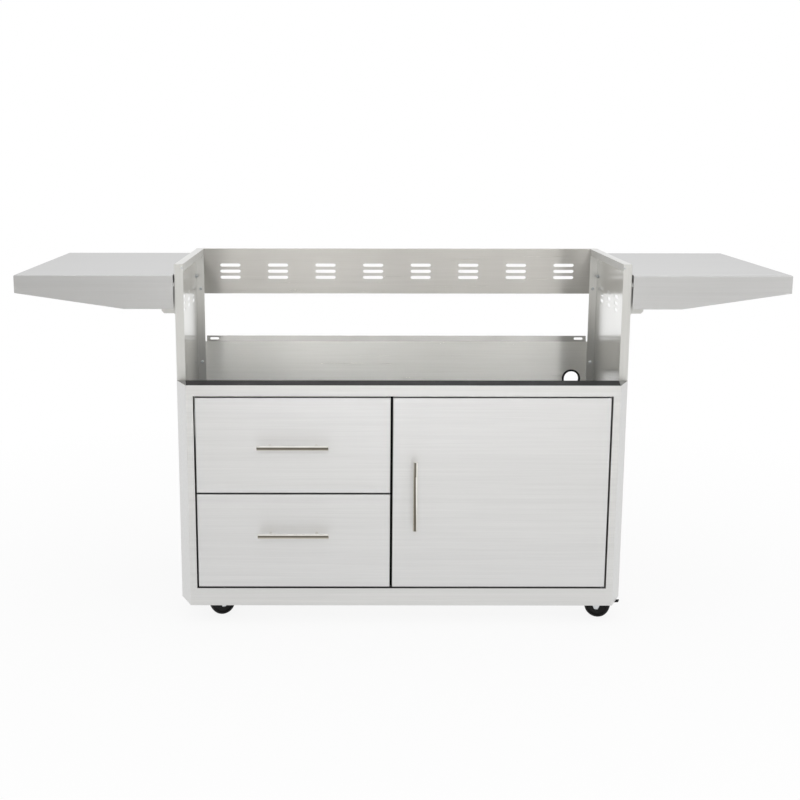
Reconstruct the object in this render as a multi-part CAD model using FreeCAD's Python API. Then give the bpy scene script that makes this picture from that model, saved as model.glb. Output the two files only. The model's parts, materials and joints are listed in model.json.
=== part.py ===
import FreeCAD, Part
import math
import os

from FreeCAD import Vector

# A free-standing stainless cart for a drop-in grill. Two full-height side panels carry a bevelled front
# frame, a floor on four casters and two back panels. Two drawers and a door fill the front, and a
# folding shelf hangs on each side. Millimetres, +Z up, +Y to the back, origin on the ground under the
# middle of the cart.

# Cabinet body
sheet = 1.2                     # body panels
bend_radius = 2.4               # outside of the visible bends
body_width = 1118.0             # over the two side panels
bevel_width = 30.0              # each bevelled corner, seen from the front
bevel_depth = 68.0              # front face back to the side panels
side_depth = 447.0              # side panels, front edge to back edge
skirt_clearance = 46.0          # ground up to the lower edge of the cabinet
sill_step = 5.8                 # cabinet floor up to the front opening
stile = 17.0                    # flat front beside the opening
opening_height = 490.5          # clear opening for the drawers and the door
opening_return = 25.0           # folded edge round the opening
top_rail = 27.0                 # opening up to the cabinet top
bay_height = 287.5              # cabinet top up to the top of the side panels
flange = 22.0                   # inward flanges of the side panels
lip = 18.0                      # turned-down inner edge of their top flanges
floor_flange = 20.0             # turned-up edges of the cabinet floor
floor_clearance = 0.5           # floor beside the side panels' front flanges
floor_relief = 3.0              # between its turned-up edges at the back corners
divider_thickness = 12.0        # box-section wall between the drawers and the door
divider_slope = 60.0            # length of the slope behind its tall front
divider_rise = 4.0              # its top above the drawer trays
ledge_drop = 20.0               # turned-down edges of the black ledge
ledge_sheet = 1.5

# Vent slots
side_slot_columns = 4
side_slot_pitch = 96.0
side_slot_length = 42.0
side_slot_drop = 117.0          # panel top down to the middle row
back_slot_columns = 8
back_slot_pitch = 132.4
back_slot_length = 57.0
slot_rows = 3
slot_row_pitch = 17.0
slot_height = 8.8
slot_end_sides = 3              # flats round each slot end

# Back panels
upper_back_height = 124.0
upper_back_fold = 15.0          # stiffening folds along its top and bottom
lower_back_rise = 44.0          # its top edge above the cabinet top
back_lip = 16.0                 # leaning strip along its top edge
back_lip_lean = 15.0            # degrees
back_lip_notch = 4.0            # lip stops short of the side flanges
lip_slot_length = 26.0
lip_slot_height = 6.5
lip_slot_inset = 25.5           # side flange to the slot's middle
back_edge = 1.0                 # back panels stop short of the body's width
hose_inset = 64.3               # grommet axis in from the right side
hose_drop = 77.0                # grommet axis below the cabinet top
grommet_bore = 41.0
grommet_wall = 5.2
grommet_rim = 3.0               # beyond each face of the sheet

# Drawer fronts and door
panel_gap = 4.0                 # round the fronts
middle_gap = 5.5                # between the drawers and the door
drawer_width = 478.0
panel_depth = 18.0
panel_return = 25.0             # edges folded in behind the fronts
liner_inset = 3.0
pivot_setback = 7.0             # door pivot in from the door's face and edge
pivot_radius = 3.0
pivot_tail = 4.0                # pin beyond the frame's sheet
shoulder_radius = 4.5
shoulder_clearance = 0.3        # pin's shoulder to the frame
catch_size = (12.0, 24.0, 38.0)
strike_size = (12.0, 1.0, 30.0)
catch_heights = (379.0, 145.0)  # above the opening's sill
catch_gap = 0.3

# Handles
bar_diameter = 12.7
bar_length = 176.0
bar_standoff = 26.0             # panel face to bar axis
post_diameter = 8.0
post_spacing = 114.0
lower_handle_rise = 20.0        # lower drawer's bar above the middle of its front
door_handle_inset = 55.0        # door edge to bar axis

# Drawer trays and telescopic slides
tray_depth = 410.0
tray_height = 150.0
tray_sheet = 1.0
tray_lift = 30.0                # front's lower edge up to the tray
slide_length = 400.0
slide_height = 45.0
slide_thickness = 12.7          # tray side to cabinet
slide_sheet = 1.2
slide_clearance = 0.4           # between nested rails
slide_setback = 3.0             # behind the opening's folded edge
slide_side_gap = 3.0            # slide inside the opening's edge
spacer_foot = 15.0
spacer_clearance = 2.0          # spacer behind the side panel's front flange

# Folding side shelves
shelf_width = 388.0
shelf_depth = 630.0
shelf_setback = 64.0            # front face back to the shelf's front edge
shelf_drop = 26.5               # panel top down to the shelf top
shelf_gap = 3.0                 # side panel to the shelf
shelf_edge_inner = 83.0         # apron height beside the cart
shelf_edge_outer = 44.0         # apron height at the outer end
shelf_flat = 121.0              # apron's full-height length
shelf_corner = 3.0
shelf_fold = 20.0               # turned-down inner edge of the shelf top
arm_thickness = 4.0
arm_flange = 20.0
arm_end = 40.0                  # arm stops short of the outer end
arm_tip_height = 20.0
arm_rise = 10.0                 # arm's lower edge above the apron's
ear_radius = 7.0
pin_radius = 4.0
running_clearance = 0.06        # round pins and axles
pivot_reach = 16.0              # side panel to pivot
pivot_drop = 5.0                # pivot below the apron
bracket_plate = 2.5
bracket_width = 40.0
bracket_height = 66.0
bracket_reach = 36.0
bracket_drop = 14.0             # bracket's lower edge below the apron
bracket_chamfer = 6.0
bracket_top_reach = 12.0
bracket_gap = 0.5               # each side of the arm
bracket_inset = 28.0            # bracket middle in from the side panel's edges

# Casters
wheel_radius = 32.0
wheel_width = 26.0
wheel_clearance = 2.4           # each side, to the fork's legs
caster_trail = 24.0
caster_side_inset = 79.5        # side panel to swivel axis
caster_swing = 2.0              # turning wheel clear of the cabinet's skirt
caster_plate = 2.5
caster_plate_size = 62.0
swivel_clearance = 0.3
crown_thickness = 2.5
crown_overhang = 13.0           # crown ahead of the king pin
crown_reach = 19.0              # crown behind the king pin
crown_clearance = 10.4          # wheel under the king pin's nut
king_pin_radius = 5.0
king_pin_nut = 13.0             # across flats
king_pin_nut_height = 4.0
leg_thickness = 2.5
leg_foot = 8.5                  # leg beyond the axle
axle_radius = 4.0
axle_end = 1.5                  # axle beyond the brake's lever
brake_arm = 3.0
brake_lug = 16.0                # across flats, round the axle
brake_clearance = 0.3
brake_gap = 2.5                 # wheel to foot pad
brake_pad_length = 18.0
brake_pad_width = 16.0
brake_pad_thickness = 2.5
brake_raise = 11.0              # degrees above level at rest
front_left_angle = 22.0         # degrees, direction each caster trails from +X
front_right_angle = -20.0
rear_left_angle = 20.0
rear_right_angle = 10.0

# Positions that follow from the sizes
half_width = body_width / 2
half_face = half_width - bevel_width
half_opening = half_face - stile
skin_x = half_width - sheet
bend_x = half_width - bend_radius
flange_x = half_width - flange
bevel_length = math.hypot(bevel_width, bevel_depth)
inner_corner_x = half_face - sheet * (bevel_length - bevel_width) / bevel_depth

bar_radius = bar_diameter / 2
handle_reach = bar_standoff + bar_radius
shelf_rear = shelf_setback + shelf_depth
face_y = (handle_reach - shelf_rear) / 2
side_front = face_y + bevel_depth
back_y = side_front + side_depth
front_back_y = face_y + panel_depth

caster_height = (2 * wheel_radius + crown_clearance + king_pin_nut_height + crown_thickness
                 + 2 * swivel_clearance + caster_plate)
crown_top = caster_height - caster_plate - swivel_clearance
floor_z = caster_height + sheet
sill_z = floor_z + sill_step
lintel_z = sill_z + opening_height
cabinet_top = lintel_z + top_rail
top_z = cabinet_top + bay_height

drawer_left = -half_opening + panel_gap
drawer_right = drawer_left + drawer_width
door_left = drawer_right + middle_gap
door_right = half_opening - panel_gap
door_low = sill_z + panel_gap
door_high = lintel_z - panel_gap
middle_x = (drawer_right + door_left) / 2
divider_left = middle_x - divider_thickness / 2
divider_right = middle_x + divider_thickness / 2
front_height = (opening_height - 3 * panel_gap) / 2
lower_front_z = sill_z + panel_gap
upper_front_z = lower_front_z + front_height + panel_gap

tray_left = -half_opening + slide_side_gap + slide_thickness
tray_right = divider_left - slide_thickness
slide_front = face_y + opening_return + slide_setback

shelf_top = top_z - shelf_drop
shelf_inner = half_width + shelf_gap
apron_z = shelf_top - shelf_edge_inner
pivot_z = apron_z - pivot_drop
pivot_x = half_width + pivot_reach
bracket_ys = (side_front + bracket_inset, back_y - bracket_inset)

leg_reach = wheel_width / 2 + wheel_clearance + leg_thickness
caster_x = half_width - caster_side_inset
caster_inset = sheet + caster_trail + wheel_radius + caster_swing
front_caster_y = face_y + caster_inset
rear_caster_y = back_y - caster_inset

X_AXIS = Vector(1, 0, 0)
Y_AXIS = Vector(0, 1, 0)
Z_AXIS = Vector(0, 0, 1)
ORIGIN = Vector(0, 0, 0)
DOOR_PIVOT = Vector(door_right - pivot_setback, face_y + pivot_setback, 0)
HOSE = Vector(half_width - hose_inset, back_y, cabinet_top - hose_drop)
AXLE = Vector(caster_trail, 0, wheel_radius)
TOLERANCE = 1e-4


def box(x0, x1, y0, y1, z0, z1):
    """Block between two corners."""
    return Part.makeBox(x1 - x0, y1 - y0, z1 - z0, Vector(x0, y0, z0))


def prism(points, run):
    """Closed outline carried along a vector."""
    return Part.Face(Part.makePolygon(points + points[:1])).extrude(run)


def hexagon(across, start, axis, side, length):
    """Hexagonal nut or lug; one of its corners points along side."""
    corner = across / math.sqrt(3)
    third = axis.cross(side)
    angles = [math.radians(60 * i) for i in range(6)]
    points = [start + side * (corner * math.cos(a)) + third * (corner * math.sin(a)) for a in angles]
    return prism(points, axis * length)


def slot(centre, along, length, height, run):
    """Slot with rounded ends of a few flats, centred on a point and carried along a vector."""
    radius = height / 2
    across = run.cross(along).normalize()
    points = []
    for side in (1, -1):
        end = centre + along * (side * (length / 2 - radius))
        for i in range(slot_end_sides + 1):
            angle = math.pi * (i / slot_end_sides - 0.5)
            points.append(end + (along * math.cos(angle) + across * math.sin(angle)) * (side * radius))
    return prism(points, run)


def join(pieces):
    """One solid from touching pieces."""
    return pieces[0].fuse(pieces[1:]).removeSplitter()


def mirrored(shape):
    """The same piece on the other side of the cart."""
    return shape.mirror(ORIGIN, X_AXIS)


def edges_from(solid, points, run):
    """Edges of a solid that start at one of the points and follow a vector."""
    found = []
    for edge in solid.Edges:
        ends = [vertex.Point for vertex in edge.Vertexes]
        for point in points:
            pair = (point, point + run)
            if all(min(end.distanceToPoint(p) for p in pair) < TOLERANCE for end in ends):
                found.append(edge)
    return found


def faces_at(solid, axis, value):
    """Flat faces of a solid that lie at one value along an axis (0, 1 or 2)."""
    found = []
    for face in solid.Faces:
        limits = face.BoundBox
        low = (limits.XMin, limits.YMin, limits.ZMin)[axis]
        high = (limits.XMax, limits.YMax, limits.ZMax)[axis]
        if max(abs(low - value), abs(high - value)) < TOLERANCE:
            found.append(face)
    return found


def folded(points, place, run, thickness=sheet):
    """Sheet bent along an open line of (a, b) points, lying to its left and carried along a vector."""
    line = [Vector(a, b, 0) for a, b in points]
    steps = [(end - start).normalize() for start, end in zip(line, line[1:])]
    normals = [Vector(-step.y, step.x, 0) for step in steps]
    inner = []
    for i, point in enumerate(line):
        before = normals[max(i - 1, 0)]
        after = normals[min(i, len(normals) - 1)]
        inner.append(point + (before + after) * (thickness / (1 + before.dot(after))))
    return prism([place(p.x, p.y) for p in line + inner[::-1]], run)


def slot_grid(columns, pitch, length, place, along, run):
    """Rows and columns of vent slots, placed by their offsets from the middle of the grid."""
    slots = []
    for column in range(columns):
        for row in range(slot_rows):
            offset = (column - (columns - 1) / 2) * pitch
            rise = (row - (slot_rows - 1) / 2) * slot_row_pitch
            slots.append(slot(place(offset, rise), along, length, slot_height, run))
    return slots


# Body panels

def side_panel():
    """Full-height right side: a pan folded in at the front, back and top, with vents beside the grill."""
    block = box(flange_x, half_width, side_front, back_y, skirt_clearance, top_z)
    skin_low = Vector(half_width, side_front, skirt_clearance)
    rise = Vector(0, 0, top_z - skirt_clearance)
    reach = Vector(0, side_depth, 0)
    bends = edges_from(block, [skin_low, skin_low + reach], rise)
    bends += edges_from(block, [skin_low + rise], reach)
    block = block.makeFillet(bend_radius, bends)
    open_faces = faces_at(block, 0, flange_x) + faces_at(block, 2, skirt_clearance)
    pan = block.makeThickness(open_faces, -sheet, TOLERANCE)
    turned_lip = box(flange_x, flange_x + sheet, side_front + sheet, back_y - sheet, top_z - lip, top_z)
    middle_y = (side_front + back_y) / 2
    row_z = top_z - side_slot_drop
    slots = slot_grid(
        side_slot_columns, side_slot_pitch, side_slot_length,
        lambda offset, up: Vector(half_width - 2 * sheet, middle_y + offset, row_z + up),
        Y_AXIS, X_AXIS * (3 * sheet),
    )
    return join([pan, turned_lip]).cut(slots)


def face_frame():
    """Front of the cabinet: one sheet bevelled back at both corners, with a folded opening."""
    plan = [
        (-flange_x, side_front), (-half_width, side_front), (-half_face, face_y),
        (half_face, face_y), (half_width, side_front), (flange_x, side_front),
    ]
    run = Vector(0, 0, cabinet_top - skirt_clearance)
    skin = folded(plan, lambda a, b: Vector(a, b, skirt_clearance), run)
    clear = box(-half_opening, half_opening, face_y - sheet, face_y + 2 * opening_return, sill_z, lintel_z)
    rim = box(
        -half_opening - sheet, half_opening + sheet, face_y, face_y + opening_return,
        sill_z - sheet, lintel_z + sheet,
    )
    right_cap = prism([Vector(a, b, cabinet_top - sheet) for a, b in plan[3:]], Z_AXIS * sheet)
    hollow = box(
        -half_opening, half_opening, face_y + sheet, face_y + 2 * opening_return, sill_z, lintel_z
    )
    frame = join([skin, rim.cut(hollow), right_cap, mirrored(right_cap)]).cut(clear)
    radius = pivot_radius + running_clearance
    bottoms = [DOOR_PIVOT + Z_AXIS * z for z in (sill_z - sheet, lintel_z)]
    return frame.cut([Part.makeCylinder(radius, sheet, bottom, Z_AXIS) for bottom in bottoms])


def front_ledge():
    """Black ledge that closes the top of the front frame: a channel open below and at its ends."""
    front = face_y + sheet
    top = [
        Vector(-inner_corner_x, front, cabinet_top), Vector(inner_corner_x, front, cabinet_top),
        Vector(flange_x, side_front, cabinet_top), Vector(-flange_x, side_front, cabinet_top),
    ]
    block = prism(top, Z_AXIS * -ledge_drop)
    ends = [face for face in block.Faces if abs(face.normalAt(0, 0).x) > 0.5]
    open_faces = ends + faces_at(block, 2, cabinet_top - ledge_drop)
    return block.makeThickness(open_faces, -ledge_sheet, TOLERANCE)


def floor_panel():
    """Cabinet floor: a tray turned up at the sides and back, cut round the front flanges."""
    front = face_y + sheet
    notch_x = flange_x - floor_clearance
    notch_y = side_front + sheet
    bevel_y = front + (notch_x - inner_corner_x) * bevel_depth / bevel_width
    back = back_y - sheet
    side_start, side_end = side_front + bend_radius, back_y - bend_radius
    right = [
        (inner_corner_x, front), (notch_x, bevel_y), (notch_x, notch_y), (bend_x, notch_y),
        (skin_x, side_start), (skin_x, side_end), (bend_x, back),
    ]
    outline = right + [(-x, y) for x, y in right[::-1]]
    plate = prism([Vector(x, y, caster_height) for x, y in outline], Z_AXIS * sheet)
    high = floor_z + floor_flange
    right_wall = box(skin_x - sheet, skin_x, side_start, side_end - floor_relief, caster_height, high)
    back_wall = box(-bend_x, bend_x, back - sheet, back, caster_height, high)
    return join([plate, right_wall, mirrored(right_wall), back_wall])


def lower_back_panel():
    """Back of the cabinet, with a leaning strip along its top edge and the hose hole."""
    top = cabinet_top + lower_back_rise
    lean = math.radians(back_lip_lean)
    bend_z = top - back_lip * math.cos(lean)
    lip_back = back_y + back_lip * math.sin(lean)
    half = half_width - back_edge
    profile = [(lip_back, top), (back_y, bend_z), (back_y, skirt_clearance)]
    panel = folded(profile, lambda a, b: Vector(-half, a, b), X_AXIS * (2 * half))
    lip_x = flange_x - back_lip_notch
    behind = lip_back + 2 * sheet
    notch = box(lip_x, half_width, back_y - sheet, behind, bend_z, top + sheet)
    slot_x = flange_x - lip_slot_inset
    slot_z = (top + bend_z) / 2
    slot_start = Vector(slot_x, back_y - sheet, slot_z)
    through = Y_AXIS * (behind - slot_start.y)
    right_slot = slot(slot_start, X_AXIS, lip_slot_length, lip_slot_height, through)
    hose_hole = Part.makeCylinder(grommet_bore / 2 + grommet_wall, sheet, HOSE, Y_AXIS)
    return panel.cut([notch, mirrored(notch), right_slot, mirrored(right_slot), hose_hole])


def upper_back_panel():
    """Vented strip behind the grill, folded back along its top and bottom."""
    low = top_z - upper_back_height
    half = half_width - back_edge
    fold_y = back_y + upper_back_fold
    profile = [(fold_y, top_z), (back_y, top_z), (back_y, low), (fold_y, low)]
    panel = folded(profile, lambda a, b: Vector(-half, a, b), X_AXIS * (2 * half))
    middle_z = (low + top_z) / 2
    slots = slot_grid(
        back_slot_columns, back_slot_pitch, back_slot_length,
        lambda offset, up: Vector(offset, back_y - sheet, middle_z + up),
        X_AXIS, Y_AXIS * (3 * sheet),
    )
    return panel.cut(slots)


def centre_divider():
    """Box-section wall between the drawers and the cupboard, tall at the front where it meets the ledge."""
    front = face_y + opening_return
    back = back_y - 2 * sheet
    tall = cabinet_top - ledge_drop
    short = upper_front_z + tray_lift + tray_height + divider_rise
    outline = [
        (front, floor_z), (front, tall), (side_front, tall), (side_front + divider_slope, short),
        (back, short), (back, floor_z),
    ]
    wall = prism([Vector(divider_left, y, z) for y, z in outline], X_AXIS * divider_thickness)
    hollow = box(
        divider_left + sheet, divider_right - sheet, front + sheet, back - sheet,
        floor_z - sheet, tall + sheet,
    )
    return wall.cut(hollow)


def hose_grommet():
    """Rubber ring that lines the hose hole and stands out on both faces of the sheet."""
    bore = grommet_bore / 2
    start = HOSE - Y_AXIS * grommet_rim
    length = sheet + 2 * grommet_rim
    ring = Part.makeCylinder(bore + grommet_wall, length, start, Y_AXIS)
    return ring.cut(Part.makeCylinder(bore, length, start, Y_AXIS))


# Drawers, door and handles

def front_pan(x0, x1, z0, z1):
    """Drawer or door front: a shallow pan with rounded edges, folded in behind."""
    block = box(x0, x1, face_y, front_back_y, z0, z1)
    across, up = Vector(x1 - x0, 0, 0), Vector(0, 0, z1 - z0)
    corner = Vector(x0, face_y, z0)
    rim = edges_from(block, [corner, corner + up], across)
    rim += edges_from(block, [corner, corner + across], up)
    block = block.makeFillet(bend_radius, rim)
    pan = block.makeThickness(faces_at(block, 1, front_back_y), -sheet, TOLERANCE)
    returns = box(x0, x1, front_back_y - sheet, front_back_y, z0, z1)
    inner = box(
        x0 + panel_return, x1 - panel_return, face_y, front_back_y, z0 + panel_return, z1 - panel_return
    )
    return join([pan, returns.cut(inner)])


def handle(centre, along):
    """Round bar on two posts, in front of a panel; centre lies on the panel's face."""
    middle = centre - Y_AXIS * bar_standoff
    bar = Part.makeCylinder(bar_radius, bar_length, middle - along * (bar_length / 2), along)
    posts = []
    for side in (-1, 1):
        foot = centre + along * (side * post_spacing / 2)
        posts.append(Part.makeCylinder(post_diameter / 2, bar_standoff, foot, -Y_AXIS).cut(bar))
    return bar, Part.makeCompound(posts)


def tray(front_z):
    """Open drawer tray behind a front."""
    low = front_z + tray_lift
    high = low + tray_height
    block = box(tray_left, tray_right, front_back_y, front_back_y + tray_depth, low, high)
    return block.makeThickness(faces_at(block, 2, high), -tray_sheet, TOLERANCE)


def slide_middle_z(front_z):
    """Height of a drawer's slides."""
    return front_z + tray_lift + tray_height / 2


def rail(x_web, outward, height, reach, middle_z):
    """Channel rail of a slide: web at x_web, flanges reaching outward (-1 or 1) from it."""
    low, high = middle_z - height / 2, middle_z + height / 2
    edge = x_web + outward * reach
    points = [(edge, high), (x_web, high), (x_web, low), (edge, low)]
    if outward < 0:
        points = points[::-1]
    return folded(points, lambda a, b: Vector(a, slide_front, b), Y_AXIS * slide_length, slide_sheet)


def slides(front_z):
    """Cabinet, middle and drawer rails on both sides of a drawer."""
    middle_z = slide_middle_z(front_z)
    step = slide_sheet + slide_clearance
    cabinet, middle, drawer = [], [], []
    for tray_x, outward in ((tray_left, 1), (tray_right, -1)):
        wall_x = tray_x - outward * slide_thickness
        reach = slide_thickness - 2 * step
        cabinet.append(rail(wall_x, outward, slide_height, reach, middle_z))
        middle.append(rail(wall_x + outward * step, outward, slide_height - 2 * step, reach, middle_z))
        drawer.append(rail(tray_x, -outward, slide_height - 4 * step, reach - step, middle_z))
    return cabinet, middle, drawer


def runner_spacers():
    """Hat channels that bring the left slides in from the side panel to the opening."""
    web_x = -half_opening + slide_side_gap - sheet
    half = slide_height / 2
    back = slide_front + slide_length
    front = side_front + sheet + spacer_clearance
    channels = []
    for front_z in (lower_front_z, upper_front_z):
        z = slide_middle_z(front_z)
        points = [
            (-skin_x, z + half + spacer_foot), (-skin_x, z + half), (web_x, z + half),
            (web_x, z - half), (-skin_x, z - half), (-skin_x, z - half - spacer_foot),
        ]
        channels.append(folded(points, lambda a, b: Vector(a, front, b), Y_AXIS * (back - front)))
    return Part.makeCompound(channels)


def door_liner():
    """Flat sheet that closes the back of the door."""
    return box(
        door_left + liner_inset, door_right - liner_inset, front_back_y, front_back_y + sheet,
        door_low + liner_inset, door_high - liner_inset,
    )


def door_pivots():
    """Shouldered pins welded to the door's top and bottom, which turn in the frame's folded edge."""
    length = panel_gap + sheet + pivot_tail
    shoulder = panel_gap - shoulder_clearance
    pins = []
    for wall_z, up in ((door_high, Z_AXIS), (door_low, -Z_AXIS)):
        foot = DOOR_PIVOT + Z_AXIS * wall_z
        stud = Part.makeCylinder(pivot_radius, length, foot, up)
        pins.append(join([stud, Part.makeCylinder(shoulder_radius, shoulder, foot, up)]))
    return Part.makeCompound(pins)


def catches():
    """Magnetic catches on the divider, and the strike plates on the door's liner that meet them."""
    width, depth, height = catch_size
    plate_width, plate_depth, plate_height = strike_size
    plate_y = front_back_y + sheet
    block_y = plate_y + plate_depth + catch_gap
    catch_x = divider_right + width / 2
    blocks, plates = [], []
    for rise in catch_heights:
        z = sill_z + rise
        blocks.append(box(
            divider_right, divider_right + width, block_y, block_y + depth, z - height / 2, z + height / 2
        ))
        plates.append(box(
            catch_x - plate_width / 2, catch_x + plate_width / 2, plate_y, plate_y + plate_depth,
            z - plate_height / 2, z + plate_height / 2,
        ))
    return Part.makeCompound(blocks), Part.makeCompound(plates)


# Folding shelves

def shelf_pan():
    """Right shelf: a pan with tapering aprons, open below and towards the cart."""
    outer = shelf_inner + shelf_width
    front = face_y + shelf_setback
    profile = [
        (shelf_inner, shelf_top), (shelf_inner, apron_z), (shelf_inner + shelf_flat, apron_z),
        (outer, shelf_top - shelf_edge_outer), (outer, shelf_top),
    ]
    depth = Y_AXIS * shelf_depth
    block = prism([Vector(x, front, z) for x, z in profile], depth)
    near = Vector(shelf_inner, front, shelf_top)
    far = Vector(outer, front, shelf_top)
    rounds = edges_from(block, [near, near + depth], far - near) + edges_from(block, [far], depth)
    block = block.makeFillet(shelf_corner, rounds)
    below = [face for face in block.Faces if face.normalAt(0, 0).z < -0.5]
    pan = block.makeThickness(below + faces_at(block, 0, shelf_inner), -sheet, TOLERANCE)
    fold = box(
        shelf_inner, shelf_inner + sheet, front + shelf_corner, front + shelf_depth - shelf_corner,
        shelf_top - shelf_fold, shelf_top - sheet,
    )
    return join([pan, fold])


def shelf_arms():
    """Two tapered arms under the right shelf, each with an ear that turns on its bracket's pin."""
    top = shelf_top - sheet
    tip_x = shelf_inner + shelf_width - arm_end
    low = apron_z + arm_rise
    ear_flat = ear_radius * math.tan(math.pi / 8)
    outline = [
        (pivot_x - ear_radius, pivot_z - ear_flat), (pivot_x - ear_radius, top), (tip_x, top),
        (tip_x, top - arm_tip_height), (shelf_inner + shelf_flat, low), (pivot_x + ear_radius, low),
        (pivot_x + ear_radius, pivot_z - ear_flat), (pivot_x + ear_flat, pivot_z - ear_radius),
        (pivot_x - ear_flat, pivot_z - ear_radius),
    ]
    arms = []
    for y in bracket_ys:
        start = y - arm_thickness / 2
        plate = prism([Vector(x, start, z) for x, z in outline], Y_AXIS * arm_thickness)
        seat = box(pivot_x - ear_radius, tip_x, start, start + arm_flange, top - arm_thickness / 2, top)
        pivot = Vector(pivot_x, start, pivot_z)
        hole = Part.makeCylinder(pin_radius + running_clearance, arm_thickness, pivot, Y_AXIS)
        arms.append(join([plate, seat]).cut(hole))
    return Part.makeCompound(arms)


def shelf_brackets():
    """Clevis brackets on the right side panel, each with its riveted pivot pin."""
    low = apron_z - bracket_drop
    high = low + bracket_height
    outer = half_width + bracket_reach
    outline = [
        (half_width, low), (outer - bracket_chamfer, low), (outer, low + bracket_chamfer),
        (outer, apron_z + arm_rise), (half_width + bracket_top_reach, high), (half_width, high),
    ]
    gap = arm_thickness / 2 + bracket_gap
    brackets = []
    for y in bracket_ys:
        base = box(
            half_width, half_width + bracket_plate, y - bracket_width / 2, y + bracket_width / 2, low, high
        )
        cheeks = [
            prism([Vector(x, start, z) for x, z in outline], Y_AXIS * bracket_plate)
            for start in (y - gap - bracket_plate, y + gap)
        ]
        pin = Part.makeCylinder(pin_radius, 2 * gap, Vector(pivot_x, y - gap, pivot_z), Y_AXIS)
        brackets.append(join([base, pin] + cheeks))
    return Part.makeCompound(brackets)


# Casters

def caster_top(x, y):
    """Mounting plate with its king pin and nut, on which the fork swivels."""
    half = caster_plate_size / 2
    low = caster_height - caster_plate
    plate = box(x - half, x + half, y - half, y + half, low, caster_height)
    shank = crown_thickness + 2 * swivel_clearance
    pin = Part.makeCylinder(king_pin_radius, shank, Vector(x, y, low), -Z_AXIS)
    nut = hexagon(king_pin_nut, Vector(x, y, low - shank), -Z_AXIS, X_AXIS, king_pin_nut_height)
    return join([plate, pin, nut])


def fork(braked):
    """Pressed fork with its riveted axle, trailing along +X; a braked one carries a lever on its axle."""
    low = crown_top - crown_thickness
    bridge = box(-crown_overhang, crown_reach, -leg_reach, leg_reach, low, crown_top)
    foot = leg_foot / 2
    outline = [
        (-crown_overhang, crown_top), (caster_trail - leg_foot, wheel_radius),
        (caster_trail - foot, wheel_radius - leg_foot), (caster_trail + foot, wheel_radius - leg_foot),
        (caster_trail + leg_foot, wheel_radius), (crown_reach, crown_top),
    ]
    legs = [
        prism([Vector(x, start, z) for x, z in outline], Y_AXIS * leg_thickness)
        for start in (-leg_reach, leg_reach - leg_thickness)
    ]
    stub = brake_clearance + brake_arm + axle_end if braked else 0.0
    axle = Part.makeCylinder(axle_radius, 2 * leg_reach + stub, AXLE - Y_AXIS * leg_reach, Y_AXIS)
    pin_hole = Part.makeCylinder(
        king_pin_radius + running_clearance, crown_thickness, Vector(0, 0, low), Z_AXIS
    )
    return join([bridge, axle] + legs).cut(pin_hole)


def wheel():
    """Solid wheel bored for its axle."""
    start = AXLE - Y_AXIS * (wheel_width / 2)
    bore = Part.makeCylinder(axle_radius + running_clearance, wheel_width, start, Y_AXIS)
    return Part.makeCylinder(wheel_radius, wheel_width, start, Y_AXIS).cut(bore)


def brake():
    """Foot lever that turns on the axle outside one leg, with a pad behind the wheel."""
    start = leg_reach + brake_clearance
    centre = AXLE + Y_AXIS * start
    half = brake_pad_thickness / 2
    low, high = wheel_radius - half, wheel_radius + half
    pad_x = caster_trail + wheel_radius + brake_gap
    end_x = pad_x + brake_pad_length
    lug = hexagon(brake_lug, centre, Y_AXIS, Z_AXIS, brake_arm)
    arm = box(caster_trail, end_x, start, start + brake_arm, low, high)
    pad_end = start + brake_arm
    pad = box(pad_x, end_x, pad_end - brake_pad_width, pad_end, low, high)
    hole = Part.makeCylinder(axle_radius + running_clearance, brake_arm, centre, Y_AXIS)
    return join([lug, arm, pad]).cut(hole).rotated(centre, Y_AXIS, -brake_raise)


def placed(shape, x, y, angle):
    """Caster piece turned to its trailing direction and moved to its swivel axis."""
    return shape.rotated(ORIGIN, Z_AXIS, angle).translated(Vector(x, y, 0))


# The cart

nodes = {}
nodes["right_side_panel"] = side_panel()
nodes["left_side_panel"] = mirrored(nodes["right_side_panel"])
nodes["face_frame"] = face_frame()
nodes["front_ledge"] = front_ledge()
nodes["floor_panel"] = floor_panel()
nodes["lower_back_panel"] = lower_back_panel()
nodes["upper_back_panel"] = upper_back_panel()
nodes["centre_divider"] = centre_divider()
nodes["hose_grommet"] = hose_grommet()
nodes["runner_spacers"] = runner_spacers()

cabinet_rails = []
drawer_middle_x = (drawer_left + drawer_right) / 2
for name, front_z, rise in (("upper", upper_front_z, 0.0), ("lower", lower_front_z, lower_handle_rise)):
    middle = Vector(drawer_middle_x, face_y, front_z + front_height / 2 + rise)
    bar, posts = handle(middle, X_AXIS)
    cabinet, telescope, drawer = slides(front_z)
    cabinet_rails += cabinet
    nodes[name + "_drawer_front"] = front_pan(drawer_left, drawer_right, front_z, front_z + front_height)
    nodes[name + "_drawer_tray"] = tray(front_z)
    nodes[name + "_drawer_handle"] = bar
    nodes[name + "_handle_posts"] = posts
    nodes[name + "_drawer_rails"] = Part.makeCompound(drawer)
    nodes[name + "_middle_rails"] = Part.makeCompound(telescope)
nodes["cabinet_rails"] = Part.makeCompound(cabinet_rails)

nodes["door_panel"] = front_pan(door_left, door_right, door_low, door_high)
nodes["door_liner"] = door_liner()
door_middle = Vector(door_left + door_handle_inset, face_y, (sill_z + lintel_z) / 2)
nodes["door_handle"], nodes["door_handle_posts"] = handle(door_middle, Z_AXIS)
nodes["door_pivot_pins"] = door_pivots()
nodes["magnetic_catches"], nodes["strike_plates"] = catches()

nodes["right_shelf_pan"] = shelf_pan()
nodes["right_shelf_arms"] = shelf_arms()
nodes["right_shelf_brackets"] = shelf_brackets()
for piece in ("shelf_pan", "shelf_arms", "shelf_brackets"):
    nodes["left_" + piece] = mirrored(nodes["right_" + piece])

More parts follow.
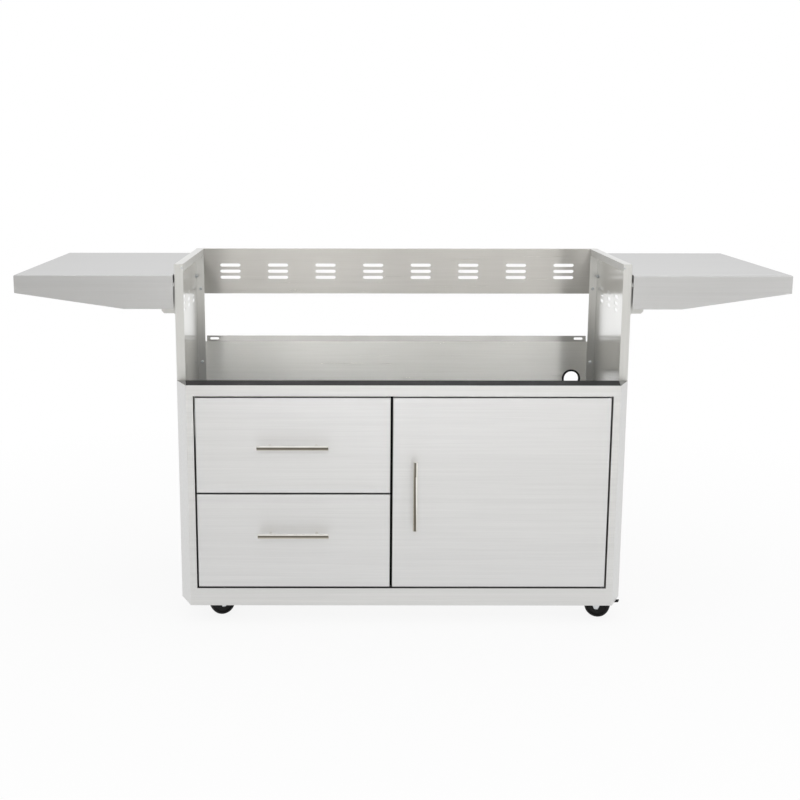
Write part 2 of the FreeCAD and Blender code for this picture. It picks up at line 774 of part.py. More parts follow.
caster_tops = []
for name, x, y, angle, braked in (
    ("front_left", -caster_x, front_caster_y, front_left_angle, True),
    ("front_right", caster_x, front_caster_y, front_right_angle, True),
    ("rear_left", -caster_x, rear_caster_y, rear_left_angle, False),
    ("rear_right", caster_x, rear_caster_y, rear_right_angle, False),
):
    caster_tops.append(caster_top(x, y))
    nodes[name + "_fork"] = placed(fork(braked), x, y, angle)
    nodes[name + "_wheel"] = placed(wheel(), x, y, angle)
    if braked:
        nodes[name + "_brake"] = placed(brake(), x, y, angle)
nodes["caster_plates"] = Part.makeCompound(caster_tops)

os.makedirs("parts", exist_ok=True)
for name, shape in nodes.items():
    shape.exportStep("parts/" + name + ".step")
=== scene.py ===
import json

import bpy
import numpy as np
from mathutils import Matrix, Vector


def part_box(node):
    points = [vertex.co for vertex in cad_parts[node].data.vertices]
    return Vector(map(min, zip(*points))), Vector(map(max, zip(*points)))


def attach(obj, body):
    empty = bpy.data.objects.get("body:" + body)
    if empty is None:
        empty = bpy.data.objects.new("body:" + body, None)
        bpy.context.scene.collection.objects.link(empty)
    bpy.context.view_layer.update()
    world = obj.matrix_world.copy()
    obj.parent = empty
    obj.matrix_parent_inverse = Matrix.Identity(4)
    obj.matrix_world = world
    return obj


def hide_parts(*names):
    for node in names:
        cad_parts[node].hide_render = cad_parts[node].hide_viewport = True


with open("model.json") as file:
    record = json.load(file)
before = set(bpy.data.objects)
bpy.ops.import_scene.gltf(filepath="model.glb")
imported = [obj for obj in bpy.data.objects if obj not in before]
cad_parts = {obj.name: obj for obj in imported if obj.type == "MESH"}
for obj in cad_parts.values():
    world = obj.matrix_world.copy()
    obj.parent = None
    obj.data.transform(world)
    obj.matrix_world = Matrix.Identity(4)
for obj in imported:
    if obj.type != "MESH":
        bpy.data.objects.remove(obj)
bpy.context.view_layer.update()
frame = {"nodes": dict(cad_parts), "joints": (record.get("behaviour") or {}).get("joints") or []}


# Side panels
# Each is one tall stainless sheet, folded in at the front, back and top and punched with vent slots.
# The outside is belt-brushed; the inside keeps the brighter surface that the rolling mill gave it.

MM = 0.001


def srgb(code):
    """Linear colour of an sRGB hex code: c / 12.92 up to 0.04045, else ((c + 0.055) / 1.055) ^ 2.4."""
    parts = np.array([int(code[start:start + 2], 16) for start in (1, 3, 5)]) / 255
    linear = np.where(parts <= 0.04045, parts / 12.92, ((parts + 0.055) / 1.055) ** 2.4)
    return (*linear.tolist(), 1.0)


def add_node(tree, kind, inputs, **settings):
    """Adds a node, sets its properties, and fills its inputs with values or with links from sockets."""
    node = tree.nodes.new(kind)
    for key, value in settings.items():
        setattr(node, key, value)
    for key, value in inputs.items():
        if isinstance(value, bpy.types.NodeSocket):
            tree.links.new(value, node.inputs[key])
        else:
            node.inputs[key].default_value = value
    return node


def new_material(name):
    """An empty node material: returns it, its tree, and the node that gives the place on the piece."""
    material = bpy.data.materials.new(name)
    material.use_nodes = True
    tree = material.node_tree
    tree.nodes.clear()
    return material, tree, add_node(tree, "ShaderNodeTexCoord", {})


def noise(tree, place, sizes, detail):
    """Noise whose cells measure the three sizes, in metres, along X, Y and Z."""
    scale = [1 / size for size in sizes]
    mapped = add_node(tree, "ShaderNodeMapping", {"Vector": place, "Scale": scale}).outputs[0]
    return add_node(
        tree, "ShaderNodeTexNoise", {"Vector": mapped, "Scale": 1.0, "Detail": detail}
    ).outputs["Fac"]


def remap(tree, value, before, after):
    """The value carried from one range to another in a straight line, and held at its ends."""
    return add_node(
        tree,
        "ShaderNodeMapRange",
        {"Value": value, 1: before[0], 2: before[1], 3: after[0], 4: after[1]},
    ).outputs[0]


def patches(tree, place, sizes, detail, usual=(0.3, 0.7)):
    """Noise stretched so that the usual range of its values fills 0 to 1."""
    return remap(tree, noise(tree, place, sizes, detail), usual, (0, 1))


def maths(tree, operation, *values):
    """The outcome of an operation, such as a sum or a product, on numbers or sockets."""
    inputs = dict(enumerate(values))
    return add_node(tree, "ShaderNodeMath", inputs, operation=operation).outputs[0]


def mix_colour(tree, share, first, second):
    """The first colour where share is 0, the second where it is 1. Each is a hex code or a socket."""
    first, second = (srgb(c) if isinstance(c, str) else c for c in (first, second))
    return add_node(
        tree, "ShaderNodeMix", {"Factor": share, 6: first, 7: second}, data_type="RGBA"
    ).outputs[2]


def bump(tree, height, depth, under=None):
    """A surface raised by the height, of range 1, times the depth in metres, over another bump."""
    inputs = {"Height": height, "Distance": depth, "Strength": 1.0}
    if under:
        inputs["Normal"] = under
    return add_node(tree, "ShaderNodeBump", inputs).outputs[0]


def surface(tree, inputs):
    """Closes a material with its principled shader."""
    shader = add_node(tree, "ShaderNodeBsdfPrincipled", inputs)
    add_node(tree, "ShaderNodeOutputMaterial", {"Surface": shader.outputs[0]})


def brushed_steel(
    name, grain, pale, dark, roughness, spread=0.65, waves=None, mill=None, painted_edge_shade=None
):
    """Brushed stainless sheet: fine lines along the grain, 0, 1 or 2 for X, Y or Z.

    Long thin noise makes the lines, which shift colour and roughness and scratch the surface; wider
    noise gives the longer streaks. Light is drawn out across the lines by the spread, so the shader's
    tangent is the cross product of the normal and the grain. Waves are the sizes and the depth of the
    slow buckling of thin sheet. Mill is the colour and the range of roughness on a side panel's inner
    side, which looks towards X = 0 from further out than the turned-down lip. The painted edge shade
    is a darker colour of painted shade for folded faces, and the range of the normal's Y over which it
    gives way to the brushed colour; a range that runs down puts the painted shade on the faces that look
    along Y.
    the brushed colour; a range that runs down puts the edge colour on the faces that look along Y.
    """
    line = [0.9 * MM] * 3                   # real lines are a fifth as wide; drawn as wide as shows
    line[grain] = 120 * MM
    streak = [8 * MM] * 3
    streak[grain] = 500 * MM
    line_depth = 0.004 * MM
    inner_side = -0.553, -0.542             # the normal's X times X in metres: the sheet, then the lip
    material, tree, texture = new_material(name)
    place = texture.outputs["Object"]
    lines = patches(tree, place, line, 2.0)
    streaks = patches(tree, place, streak, 2.0)
    share = remap(tree, maths(tree, "ADD", lines, streaks), (0, 2), (0, 1))
    rough = remap(tree, share, (0, 1), roughness)
    colour = mix_colour(tree, share, dark, pale)
    looks = add_node(tree, "ShaderNodeSeparateXYZ", {0: texture.outputs["Normal"]}).outputs
    # Folded faces get a darker colour here: painted shade.
    if painted_edge_shade:
        unshaded_share = remap(tree, maths(tree, "ABSOLUTE", looks[1]), painted_edge_shade[1], (0, 1))
        colour = mix_colour(tree, unshaded_share, painted_edge_shade[0], colour)
    if mill:
        across = add_node(tree, "ShaderNodeSeparateXYZ", {0: place}).outputs[0]
        outside = remap(tree, maths(tree, "MULTIPLY", looks[0], across), inner_side, (0, 1))
        bright = remap(tree, share, (0, 1), mill[1])
        rough = add_node(
            tree, "ShaderNodeMix", {"Factor": outside, "A": bright, "B": rough}, data_type="FLOAT"
        ).outputs[0]
        colour = mix_colour(tree, outside, mill[0], colour)
    buckled = bump(tree, noise(tree, place, waves[0], 0.0), waves[1]) if waves else None
    direction = [0.0, 0.0, 0.0]
    direction[grain] = 1.0
    direction[1 if grain == 2 else 2] = 0.05    # so that faces square to the grain have lines too
    along = add_node(
        tree,
        "ShaderNodeVectorTransform",
        {0: direction},
        vector_type="VECTOR",
        convert_from="OBJECT",
        convert_to="WORLD",
    ).outputs[0]
    facing = add_node(tree, "ShaderNodeNewGeometry", {}).outputs["Normal"]
    tangent = add_node(
        tree, "ShaderNodeVectorMath", {0: facing, 1: along}, operation="CROSS_PRODUCT"
    ).outputs[0]
    surface(tree, {
        "Base Color": colour,
        "Metallic": 1.0,
        "Roughness": rough,
        "Anisotropic": spread,
        "Tangent": tangent,
        "Normal": bump(tree, lines, line_depth, buckled),
    })
    return material


def dress(material, *nodes):
    """Gives CAD nodes a material in every slot."""
    for node in nodes:
        slots = frame["nodes"][node].data.materials
        slots.clear()
        slots.append(material)


def turned(along, radius, centres, axis, sides, flats=0):
    """Rings of a profile turned round an axis, one set for each centre.

    A point is centre + axis * along + radius * (u cos t + v sin t), with u, v and the axis at right
    angles. Along and radius hold one value for each ring, or one for each point of each ring. With
    flats the rings are polygons: the radius is that of the corners, times
    cos(pi / flats) / cos(t within one flat - pi / flats).
    """
    axis = np.array(axis, float) / np.linalg.norm(axis)
    u = np.cross(axis, (0, 0, 1) if abs(axis[2]) < 0.9 else (1, 0, 0))
    u = u / np.linalg.norm(u)
    v = np.cross(axis, u)
    turn = np.linspace(0, 2 * np.pi, sides, endpoint=False)
    outline = np.ones(sides)
    if flats:
        outline = np.cos(np.pi / flats) / np.cos(turn % (2 * np.pi / flats) - np.pi / flats)
    along = np.array(along, float).reshape(len(along), -1, 1)
    radius = (np.array(radius, float).reshape(len(radius), -1) * outline)[..., None]
    ring = along * axis + radius * (np.cos(turn)[:, None] * u + np.sin(turn)[:, None] * v)
    return np.array(centres, float).reshape(-1, 1, 1, 3) + ring


def add_piece(name, rings, body, material, loop=False):
    """A mesh through rings of points, shape (copies, rings, points, 3), riding on a body.

    Neighbouring rings are joined by four-sided faces. The first and last ring are closed by a face,
    or joined to each other where the profile is a loop. Bends of more than 35 degrees stay sharp.
    """
    copies, rows, columns = rings.shape[:3]
    index = np.arange(copies * rows * columns).reshape(copies, rows, columns)
    upper = np.roll(index, -1, axis=1) if loop else index[:, 1:]
    lower = index if loop else index[:, :-1]
    quads = np.stack(
        (lower, np.roll(lower, -1, axis=2), np.roll(upper, -1, axis=2), upper), axis=-1
    ).reshape(-1, 4).tolist()
    caps = [] if loop else index[:, 0, ::-1].tolist() + index[:, -1].tolist()
    mesh = bpy.data.meshes.new(name)
    mesh.from_pydata(rings.reshape(-1, 3).tolist(), [], quads + caps)
    mesh.shade_smooth()
    mesh.set_sharp_from_angle(angle=np.radians(35))
    mesh.materials.append(material)
    piece = bpy.data.objects.new(name, mesh)
    bpy.context.scene.collection.objects.link(piece)
    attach(piece, body)
    return piece


def zinc_plate(name, pale, dark, roughness):
    """Zinc-plated pressed steel: bright, with the cloudy patches that passivation leaves."""
    material, tree, texture = new_material(name)
    place = texture.outputs["Object"]
    clouds = patches(tree, place, [6 * MM] * 3, 3.0)
    grain = noise(tree, place, [0.8 * MM] * 3, 1.0)
    surface(tree, {
        "Base Color": mix_colour(tree, clouds, dark, pale),
        "Metallic": 1.0,
        "Roughness": remap(tree, clouds, (0, 1), roughness),
        "Normal": bump(tree, grain, 0.01 * MM),
    })
    return material


# The upright lines draw highlights out sideways; the inside is nearly a mirror.
side_steel = brushed_steel(
    "stainless_sheet_brushed_outside", 2, "#E8E8E6", "#DCDCDA", (0.38, 0.48),
    mill=("#F4F4F2", (0.18, 0.28)),
    waves=((400 * MM, 260 * MM, 700 * MM), 0.6 * MM),
)
dress(side_steel, "left_side_panel", "right_side_panel")

# A rivet shows at the top of each front fold. Plating gives it a cloudy grey sparkle.
bright_zinc = zinc_plate("steel_zinc_plated_bright", "#D9DBDC", "#BFC3C6", (0.28, 0.42))
sheet_thickness = 1.2 * MM
side_low, side_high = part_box("right_side_panel")
rivet_radius, rivet_rise = 2.6 * MM, 1.3 * MM
rivet_inset, rivet_drop = 19.2 * MM, 9.5 * MM
dome = np.linspace(0, 0.96 * np.pi / 2, 6)
rivets = turned(
    np.sin(dome) * rivet_rise,
    np.cos(dome) * rivet_radius,
    [(side * (side_high.x - rivet_inset), side_low.y, side_high.z - rivet_drop) for side in (-1, 1)],
    axis=(0, -1, 0),
    sides=20,
)
add_piece("corner_rivets", rivets, "cart", bright_zinc)


# Back panels
# Two stainless sheets screwed to the back flanges of the sides: a tall lower one whose top strip leans
# forward, and a slotted upper one of the same sheet, painted darker as shade. They are the cart's
# thinnest and buckle a little.

# Brushed along X, they show the room sharp from side to side and blurred up and down, so that the
# lamps stand in them as upright bands. The lower one's leaning strip is painted a darker grey, as shade.
buckling = (110 * MM, 110 * MM, 2500 * MM), 4 * MM
lower_back_steel = brushed_steel(
    "stainless_sheet_brushed_thin", 0, "#ECEBE8", "#E4E3DF", (0.27, 0.31), spread=1.0,
    waves=buckling,
    painted_edge_shade=("#6A6967", (0.955, 0.985)),
)
# The upper panel is the lower one's sheet in a darker colour: painted shade.
upper_back_steel = brushed_steel(
    "stainless_sheet_brushed_thin_painted_shade", 0, "#C6C4C0", "#BEBCB8", (0.27, 0.31), spread=1.0,
    waves=buckling,
)
dress(lower_back_steel, "lower_back_panel")
dress(upper_back_steel, "upper_back_panel")

# Pan-head screws: a domed head with a cross recess, whose four arms are one point wide each.
screw_heights = (120 * MM, 350 * MM, 578 * MM, 786 * MM, 882 * MM)
screw_inset = 12 * MM
screw_radius, screw_rise = 4.2 * MM, 2.4 * MM
screw_sides = 24
flange_face = side_high.y - sheet_thickness
screw_turn = np.linspace(0, 2 * np.pi, screw_sides, endpoint=False)
cross = np.abs(np.sin(2 * screw_turn)) < 0.1
screw_along = np.array([0.0, 0.35, 0.75, 0.97, 1.0, 1.0, 0.35, 0.3])
screw_along = np.repeat(screw_along[:, None], screw_sides, axis=1)
screw_along[5, cross] = 0.5
screws = turned(
    screw_along * screw_rise,
    np.array([1.0, 1.0, 0.88, 0.7, 0.6, 0.5, 0.16, 0.02]) * screw_radius,
    [(side * (side_high.x - screw_inset), flange_face, z) for side in (-1, 1) for z in screw_heights],
    axis=(0, -1, 0),
    sides=screw_sides,
)
add_piece("back_panel_screws", screws, "cart", bright_zinc)


# Hose grommet
# A moulded rubber ring pushed into the hole at the right of the lower back panel, where the gas hose
# passes. Rubber is dull and dark, and bloom leaves it a little grey.

def moulded_black(name, colour, worn, roughness, grain_size, grain_depth):
    """Black moulded rubber or plastic: a fine leathery grain from the mould and a faint grey bloom."""
    material, tree, texture = new_material(name)
    place = texture.outputs["Object"]
    bloom = patches(tree, place, [25 * MM] * 3, 3.0, usual=(0.35, 0.7))
    grain = noise(tree, place, [grain_size] * 3, 2.0)
    surface(tree, {
        "Base Color": mix_colour(tree, bloom, colour, worn),
        "Roughness": remap(tree, bloom, (0, 1), roughness),
        "Specular IOR Level": 0.3,
        "Normal": bump(tree, grain, grain_depth),
    })
    return material


dress(
    moulded_black("rubber_moulded_dull", "#1B1B1B", "#262626", (0.55, 0.7), 0.9 * MM, 0.02 * MM),
    "hose_grommet",
)


# Cabinet floor, divider and slides
# The floor and the wall between drawers and cupboard are plain stainless sheet. The telescopic slides
# are rolled from zinc-plated strip, and spacers carry the left ones clear of the front frame.

# Mill finish is smoother than the brushed fronts, so it takes on the tones around it.
plain_steel = brushed_steel(
    "stainless_sheet_mill", 1, "#DCDCDA", "#CFCFCD", (0.26, 0.38),
    waves=((300 * MM, 300 * MM, 300 * MM), 0.5 * MM),
)
dress(plain_steel, "floor_panel")

# The divider's folded front is painted near black, as shade, so that the gap between drawers and door
# reads as black.
divider_steel = brushed_steel(
    "stainless_sheet_mill_painted_shade_front", 1, "#DCDCDA", "#CFCFCD", (0.26, 0.38),
    painted_edge_shade=("#1C1C1C", (0.9, 0.4)),
)
dress(divider_steel, "centre_divider")
dress(
    bright_zinc, "runner_spacers", "cabinet_rails", "upper_middle_rails", "lower_middle_rails",
    "upper_drawer_rails", "lower_drawer_rails",
)


# Front frame
# One stainless sheet with the opening cut out, its ends bevelled back and folded in behind the sides.
# The brush lines run across, so that light spreads up and down the face.

# Its folded edges get a darker grey: painted shade in the gaps round the opening.
frame_steel = brushed_steel(
    "stainless_sheet_brushed_across", 0, "#E4E4E3", "#D8D8D7", (0.42, 0.5),
    waves=((500 * MM, 500 * MM, 220 * MM), 0.35 * MM),
    painted_edge_shade=("#8A8A88", (0.1, 0.35)),
)
dress(frame_steel, "face_frame")


# Front ledge
# A folded steel strip on top of the front frame that the grill's front edge rests on. It is stoved in
# satin black enamel, whose faint orange peel breaks up what it reflects.

def stoved_enamel(name, colour, thin, roughness):
    """Black enamel sprayed on steel and stoved: orange peel a few millimetres wide, thinner patches."""
    material, tree, texture = new_material(name)
    place = texture.outputs["Object"]
    coat = patches(tree, place, [60 * MM] * 3, 3.0)
    peel = noise(tree, place, [2.5 * MM] * 3, 1.0)
    surface(tree, {
        "Base Color": mix_colour(tree, coat, colour, thin),
        "Roughness": remap(tree, coat, (0, 1), roughness),
        "Specular IOR Level": 0.1,
        "Normal": bump(tree, peel, 0.02 * MM),
    })
    return material


black_enamel = stoved_enamel("enamel_stoved_satin_black", "#141414", "#1A1A1A", (0.5, 0.6))
dress(black_enamel, "front_ledge")


# Casters
# Pressed and zinc-plated plates and forks, bolted under the floor at the four corners. The wheels are
# moulded hard rubber on a hub, and the front ones have a pressed black brake pedal.

dress(
    bright_zinc, "caster_plates", "front_left_fork", "front_right_fork", "rear_left_fork",
    "rear_right_fork",
)
dress(black_enamel, "front_left_brake", "front_right_brake")

# Hard rubber is near black, with a dull sheen on the shoulders.
wheel_rubber = moulded_black(
    "rubber_moulded_hard", "#060606", "#0B0B0B", (0.52, 0.66), 1.2 * MM, 0.02 * MM
)
wheel_radius, tread_crown = 32 * MM, 0.5 * MM
tread_half_width, shoulder_radius = 8.5 * MM, 4.5 * MM
shoulder = np.linspace(0, np.pi / 2, 6)[1:]
tread = np.linspace(-1, 1, 7)
tread_along = tread * tread_half_width
tread_radius = wheel_radius - tread_crown * tread ** 2
near_side_along = np.concatenate((
    tread_along[-1] + shoulder_radius * np.sin(shoulder),
    np.array([13, 12.2, 10.4, 10, 10, 10.4, 12.4, 13, 13]) * MM,            # rim, web, hub, bore
))
near_side_radius = np.concatenate((
    tread_radius[-1] - shoulder_radius * (1 - np.cos(shoulder)),
    np.array([25.2, 24.4, 23.8, 23, 13, 12, 11.2, 10.4, 4.06]) * MM,
))
wheel_along = np.concatenate((tread_along, near_side_along, -near_side_along[::-1]))
wheel_profile = np.concatenate((tread_radius, near_side_radius, near_side_radius[::-1]))
joints = {joint["name"]: joint for joint in frame["joints"]}
for corner in ("front_left", "front_right", "rear_left", "rear_right"):
    axle = joints[corner + "_roll"]
    rings = turned(wheel_along, wheel_profile, axle["pos_m"], axle["axis"], sides=64)
    wheel = add_piece(
        corner + "_moulded_wheel", rings, corner + "_roller", wheel_rubber, loop=True
    )
    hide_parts(corner + "_wheel")


def hex_heads(rise, corner_radius, centres, axis):
    """Hexagon bolt heads: six flats up to 0.8 of the rise, then a chamfer in to half the radius."""
    return turned(
        np.array([0, 0.8, 1.0, 1.0]) * rise,
        np.array([1.0, 1.0, 0.88, 0.5]) * corner_radius,
        centres,
        axis,
        sides=24,
        flats=6,
    )


bolt_offset, plate_underside = 24 * MM, 81.5 * MM
swivels = [joint["pos_m"] for name, joint in joints.items() if name.endswith("_swivel")]
plate_bolts = hex_heads(
    rise=4 * MM,
    corner_radius=5.2 * MM,
    centres=[
        (x + side * bolt_offset, y + end * bolt_offset, plate_underside)
        for x, y, _ in swivels for side in (-1, 1) for end in (-1, 1)
    ],
    axis=(0, 0, -1),
)
add_piece("caster_bolts", plate_bolts, "cart", bright_zinc)


# Drawers
# Each front is a shallow stainless pan, brushed across, fixed to a plain folded tray. The tray hangs
# between telescopic slides, and the fronts stand a few millimetres apart in the frame's opening.

# The lines spread light up and down, which makes the faces even; the folded edges are painted
# greyer, as shade in the gaps between the fronts.
front_steel = brushed_steel(
    "stainless_sheet_brushed_front", 0, "#E5E5E5", "#DBDBDB", (0.44, 0.52),
    waves=((700 * MM, 700 * MM, 260 * MM), 0.3 * MM),
    painted_edge_shade=("#868684", (0.1, 0.35)),
)
dress(front_steel, "upper_drawer_front", "lower_drawer_front")
dress(plain_steel, "upper_drawer_tray", "lower_drawer_tray")


# Door
# A stainless pan like the drawer fronts, closed at the back by a flat liner. It turns on two plated
# pins at its right edge and is held shut by magnetic catches on the divider.

dress(front_steel, "door_panel")
dress(plain_steel, "door_liner")
dress(zinc_plate("steel_zinc_plated_dull", "#85888A", "#6E7173", (0.4, 0.52)), "door_pivot_pins")
dress(bright_zinc, "strike_plates")
dress(
    moulded_black("plastic_moulded_matt", "#1D1D1E", "#272727", (0.5, 0.62), 0.6 * MM, 0.015 * MM),
    "magnetic_catches",
)


# Handles
# Straight bars of polished stainless rod with eased ends, each on two turned posts screwed to its front.
# The rod is a mirror, so it shows the room in stripes along its length, and polishing leaves it wavy.

def polished_rod(name, pale, dark):
    """Polished stainless rod: a mirror with faint clouds of colour and the slow waves of the polish."""
    material, tree, texture = new_material(name)
    place = texture.outputs["Object"]
    clouds = patches(tree, place, [30 * MM] * 3, 2.0)
    waves = noise(tree, place, [9 * MM] * 3, 1.0)
    surface(tree, {
        "Base Color": mix_colour(tree, clouds, dark, pale),
        "Metallic": 1.0,
        "Roughness": 0.0,
        "Normal": bump(tree, waves, 0.004 * MM),
    })
    return material


bar_steel = polished_rod("stainless_rod_polished", "#F3F1EC", "#E9E7E2")
bars = bpy.data.collections.new("polished_bars")
bar_radius, end_ease = 6.35 * MM, 1.6 * MM
ease = np.linspace(0, np.pi / 2, 6)
for node, body, axis in (
    ("upper_drawer_handle", "upper_drawer", 0),
    ("lower_drawer_handle", "lower_drawer", 0),
    ("door_handle", "door", 2),
):
    low, high = (np.array(corner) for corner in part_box(node))
    half = (high - low)[axis] / 2
    end_along = half - end_ease * (1 - np.sin(ease))
    end_radius = bar_radius - end_ease * (1 - np.cos(ease))
    rings = turned(
        np.concatenate((-end_along[::-1], end_along)),
        np.concatenate((end_radius[::-1], end_radius)),
        (low + high) / 2,
        np.eye(3)[axis],
        sides=48,
    )
    bar = add_piece(node + "_bar", rings, body, bar_steel)
    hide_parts(node)
    bars.objects.link(bar)
dress(bar_steel, "upper_handle_posts", "lower_handle_posts", "door_handle_posts")


# Side shelves
# Each is a stainless sheet pressed into a shallow tray upside down, with tapering aprons. It folds on
# arms that turn on pins in brackets; each bracket is welded to the side panel and held by one bolt.

# A coarser belt leaves the shelves duller than the fronts.
shelf_steel = brushed_steel(
    "stainless_sheet_brushed_shelf", 0, "#CBCBCB", "#C2C2C2", (0.42, 0.5),
    waves=((500 * MM, 300 * MM, 300 * MM), 0.4 * MM),
)
dress(shelf_steel, "left_shelf_pan", "right_shelf_pan")
dress(
    plain_steel, "left_shelf_arms", "right_shelf_arms", "left_shelf_brackets", "right_shelf_brackets"
)

bracket_low, bracket_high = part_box("right_shelf_brackets")
bracket_plate = 2.5 * MM
bolt_height, front_bolt, rear_bolt = 822 * MM, 33 * MM, 7 * MM
bolt_radius, head_rise, nut_rise = 4.6 * MM, 3.5 * MM, 4 * MM
bolt_places = bracket_low.y + front_bolt, bracket_high.y - rear_bolt
outer_face, inner_face = side_high.x + bracket_plate, side_high.x - sheet_thickness
for side, name in ((-1, "left"), (1, "right")):
    heads = hex_heads(
        head_rise,
        bolt_radius,
        [(side * outer_face, y, bolt_height) for y in bolt_places],
        (side, 0, 0),
    )
    add_piece(name + "_bracket_bolts", heads, "cart", bright_zinc)
    nuts = turned(
        np.array([0, 0, 0.8, 1.0, 1.0, 1.5, 1.5]) * nut_rise,              # flange, nut, bolt's end
        np.array([1.6, 1.0, 1.0, 0.88, 0.5, 0.45, 0.3]) * bolt_radius,
        [(side * inner_face, y, bolt_height) for y in bolt_places],
        axis=(-side, 0, 0),
        sides=24,
        flats=6,
    )
    add_piece(name + "_bracket_nuts", nuts, "cart", bright_zinc)


# Studio
# A pale floor in an even white room, a large soft lamp overhead, one at the front right, and two with
# grids that light the bay. Brushed sheets mirror the room with a darker band behind the camera. The
# polished bars mirror a darker one and not the lamps, so that their stripes have contrast.

scene = bpy.context.scene
scene.view_settings.view_transform = "Standard"
room_dark = "#716D65"

floor_radius, floor_points = 2.6, 96
turn = np.linspace(0, 2 * np.pi, floor_points, endpoint=False)
rim = np.stack((np.cos(turn), np.sin(turn), 0 * turn), axis=-1) * floor_radius
floor_mesh = bpy.data.meshes.new("studio_floor")
floor_mesh.from_pydata(rim.tolist(), [], [list(range(floor_points))])
floor = bpy.data.objects.new("studio_floor", floor_mesh)
scene.collection.objects.link(floor)

# The paper is lit near the cart, where it keeps the shadow, and fades to plain white further out.
paper, tree, texture = new_material("paper_backdrop_white")
spot = texture.outputs["Object"]
reach = add_node(tree, "ShaderNodeVectorMath", {0: spot}, operation="LENGTH").outputs["Value"]
fade = remap(tree, reach, (0.5, 2.2), (0.88, 1))
rays = add_node(tree, "ShaderNodeLightPath", {}).outputs
tooth = noise(tree, spot, [4 * MM] * 3, 2.0)
lit = add_node(
    tree, "ShaderNodeBsdfDiffuse", {"Color": mix_colour(tree, tooth, "#F2F2F2", "#F6F6F6")}
).outputs[0]
white = add_node(tree, "ShaderNodeEmission", {"Color": (1, 1, 1, 1), "Strength": 1.0}).outputs[0]
mirrored = remap(tree, rays["Is Glossy Ray"], (0, 1), (0, 0.85))
looked_at = maths(tree, "MAXIMUM", rays["Is Camera Ray"], mirrored)
seen = maths(tree, "MULTIPLY", fade, looked_at)
shown = add_node(tree, "ShaderNodeMixShader", {0: seen, 1: lit, 2: white}).outputs[0]

# To the bars it is dark in front of the cart, beige close to it and white at the right.
spot_x, spot_y, _ = add_node(tree, "ShaderNodeSeparateXYZ", {0: spot}).outputs
shade = remap(tree, spot_y, (-0.75, -0.58), (1, 0))
for share in (
    remap(tree, spot_x, (0.5, 0.75), (1, 0)),
    remap(tree, spot_x, (-1.2, -0.8), (0.85, 1)),
):
    shade = maths(tree, "MULTIPLY", shade, share)
pale = mix_colour(tree, remap(tree, spot_x, (0.3, 0.6), (0, 1)), "#C4C0B8", "#FFFFFF")
dim = add_node(
    tree, "ShaderNodeEmission", {"Color": mix_colour(tree, shade, pale, room_dark)}
).outputs[0]
shown = add_node(
    tree, "ShaderNodeMixShader", {0: rays["Is Singular Ray"], 1: shown, 2: dim}
).outputs[0]
add_node(tree, "ShaderNodeOutputMaterial", {"Surface": shown})
floor_mesh.materials.append(paper)

world = bpy.data.worlds.new("white_room")
scene.world = world
world.use_nodes = True
tree = world.node_tree
tree.nodes.clear()


def background(tree, colour, strength=1.0):
    """Light of one colour, a value or a socket, from all round."""
    return add_node(
        tree, "ShaderNodeBackground", {"Color": colour, "Strength": strength}
    ).outputs[0]


# Brushed sheets see white, with the band behind the camera near the horizon.
rays = add_node(tree, "ShaderNodeLightPath", {}).outputs
direction = add_node(tree, "ShaderNodeTexCoord", {}).outputs["Generated"]
heading_x, heading_y, heading_z = add_node(tree, "ShaderNodeSeparateXYZ", {0: direction}).outputs
front = remap(tree, heading_y, (-0.75, -0.2), (1, 0))
low_edge = remap(tree, heading_z, (-0.3, -0.05), (0, 1))
high_edge = remap(tree, heading_z, (0.3, 0.7), (1, 0))
band = maths(tree, "MULTIPLY", maths(tree, "MULTIPLY", low_edge, high_edge), front)
blurred = background(tree, mix_colour(tree, band, "#FFFFFF", "#DCDAD4"))

# Polished bars see the dark room in front, between white at the right and white overhead.
shade = remap(tree, heading_y, (-0.2, 0.1), (1, 0))
for share in (
    remap(tree, heading_x, (0.45, 0.62), (1, 0)),
    remap(tree, heading_x, (-0.55, -0.4), (0.85, 1)),
    remap(tree, heading_z, (0.7, 0.85), (1, 0)),
):
    shade = maths(tree, "MULTIPLY", shade, share)
sharp = background(tree, mix_colour(tree, shade, "#FFFFFF", room_dark))
mirrored = add_node(
    tree, "ShaderNodeMixShader", {0: rays["Is Singular Ray"], 1: blurred, 2: sharp}
).outputs[0]

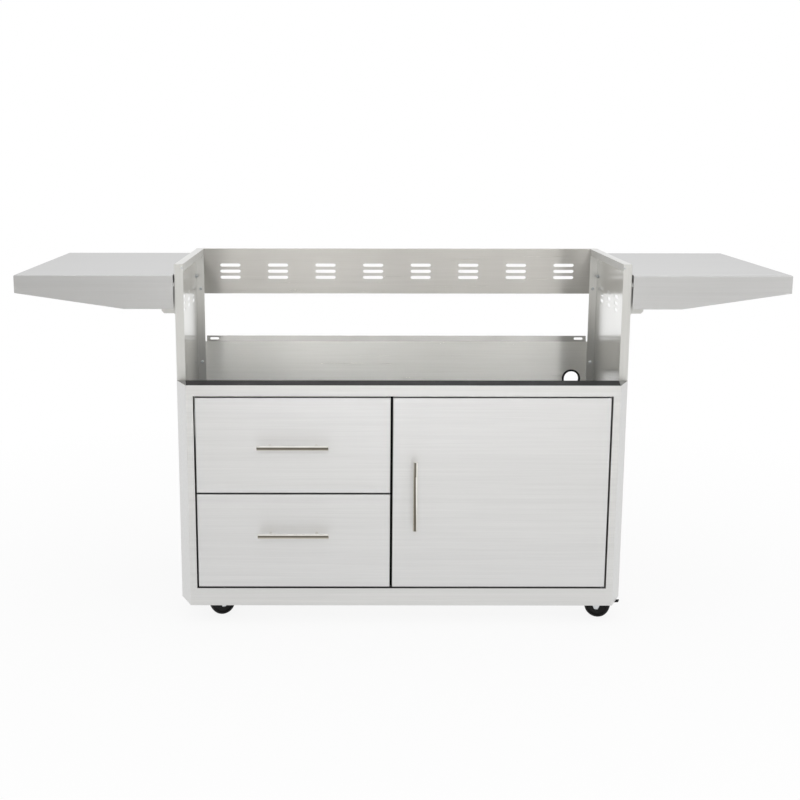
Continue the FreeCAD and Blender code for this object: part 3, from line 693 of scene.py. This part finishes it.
# Everything else is lit by a dimmer white than the camera sees behind the cart.
fill = background(tree, (1, 1, 1, 1), strength=0.75)
plain = background(tree, (1, 1, 1, 1))
lights = add_node(
    tree, "ShaderNodeMixShader", {0: rays["Is Glossy Ray"], 1: fill, 2: mirrored}
).outputs[0]
through = maths(tree, "MAXIMUM", rays["Is Camera Ray"], rays["Is Transmission Ray"])
room = add_node(tree, "ShaderNodeMixShader", {0: through, 1: lights, 2: plain}).outputs[0]
add_node(tree, "ShaderNodeOutputWorld", {"Surface": room})


def soft_lamp(name, place, target, width, depth, watts, spread=180):
    """A rectangular lamp at a place, turned to shine at a target within a spread of degrees.

    It leaves out the polished bars, whose links in their collection say so.
    """
    lamp = bpy.data.lights.new(name, "AREA")
    lamp.shape = "RECTANGLE"
    lamp.size, lamp.size_y, lamp.energy = width, depth, watts
    lamp.spread = np.radians(spread)
    fixture = bpy.data.objects.new(name, lamp)
    fixture.location = place
    aim = Vector(target) - Vector(place)
    fixture.rotation_euler = aim.to_track_quat("-Z", "Y").to_euler()
    fixture.light_linking.receiver_collection = bars
    scene.collection.objects.link(fixture)


for link in bars.collection_objects:
    link.light_linking.link_state = "EXCLUDE"
soft_lamp("overhead_softbox", (0, -0.1, 2.8), (0, -0.1, 0), 3.0, 2.0, 10)
soft_lamp("front_right_softbox", (2.2, -2.4, 1.9), (0, 0, 0.5), 1.5, 2.0, 10.5)
soft_lamp("bay_softbox_left", (-0.42, -3.2, 1.7), (-0.26, 0.18, 0.52), 0.95, 0.25, 0.21, spread=26)
soft_lamp("bay_softbox_right", (0.6, -3.2, 1.7), (0.24, 0.18, 0.52), 0.95, 0.25, 0.2, spread=26)

look_down, look_left = 11.455, 0.05         # degrees
lens = bpy.data.cameras.new("camera")
lens.sensor_width, lens.lens, lens.shift_x = 36.0, 57.97, 0.0594
camera = bpy.data.objects.new("camera", lens)
camera.location = (-0.1234, -3.402, 1.195)
camera.rotation_mode = "ZXY"
camera.rotation_euler = (np.radians(90 - look_down), 0, np.radians(look_left))
scene.collection.objects.link(camera)
scene.camera = camera
